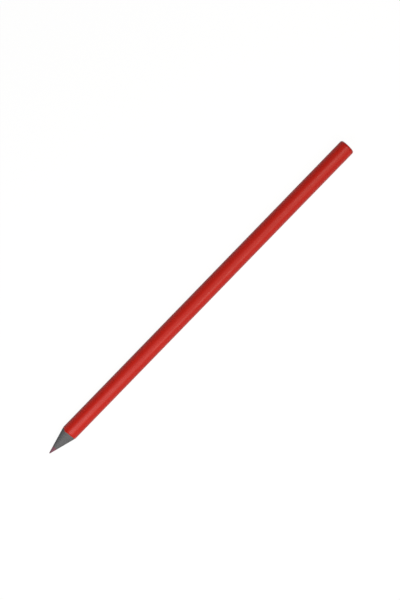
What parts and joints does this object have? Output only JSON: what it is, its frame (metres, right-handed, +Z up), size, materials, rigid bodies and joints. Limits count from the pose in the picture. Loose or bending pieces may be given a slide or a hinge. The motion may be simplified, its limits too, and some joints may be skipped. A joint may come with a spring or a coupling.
{
  "type": "pencil",
  "caption": "Round wood-cased marking pencil with red lacquer, dark dyed wood and a coloured lead, sharpened to a cone and dipped at the rear.",
  "frame": {"origin": "on the surface that the pencil lies on, under the middle of its length", "axes": "+X along the pencil from its point to its rear end, +Z up from the surface it lies on"},
  "size_m": [0.176, 0.007, 0.007],
  "materials": {
    "dyed_wood": "matte",
    "red_lead": "matte",
    "glue": "satin",
    "primer": "matte",
    "red_lacquer": "satin",
    "red_dip": "satin"
  },
  "bodies": {
    "root": {"lead_core": "red_lead", "glue_film": "glue", "upper_slat": "dyed_wood", "lower_slat": "dyed_wood", "primer_coat": "primer", "lacquer_coat": "red_lacquer", "end_dip": "red_dip"}
  },
  "joints": []
}
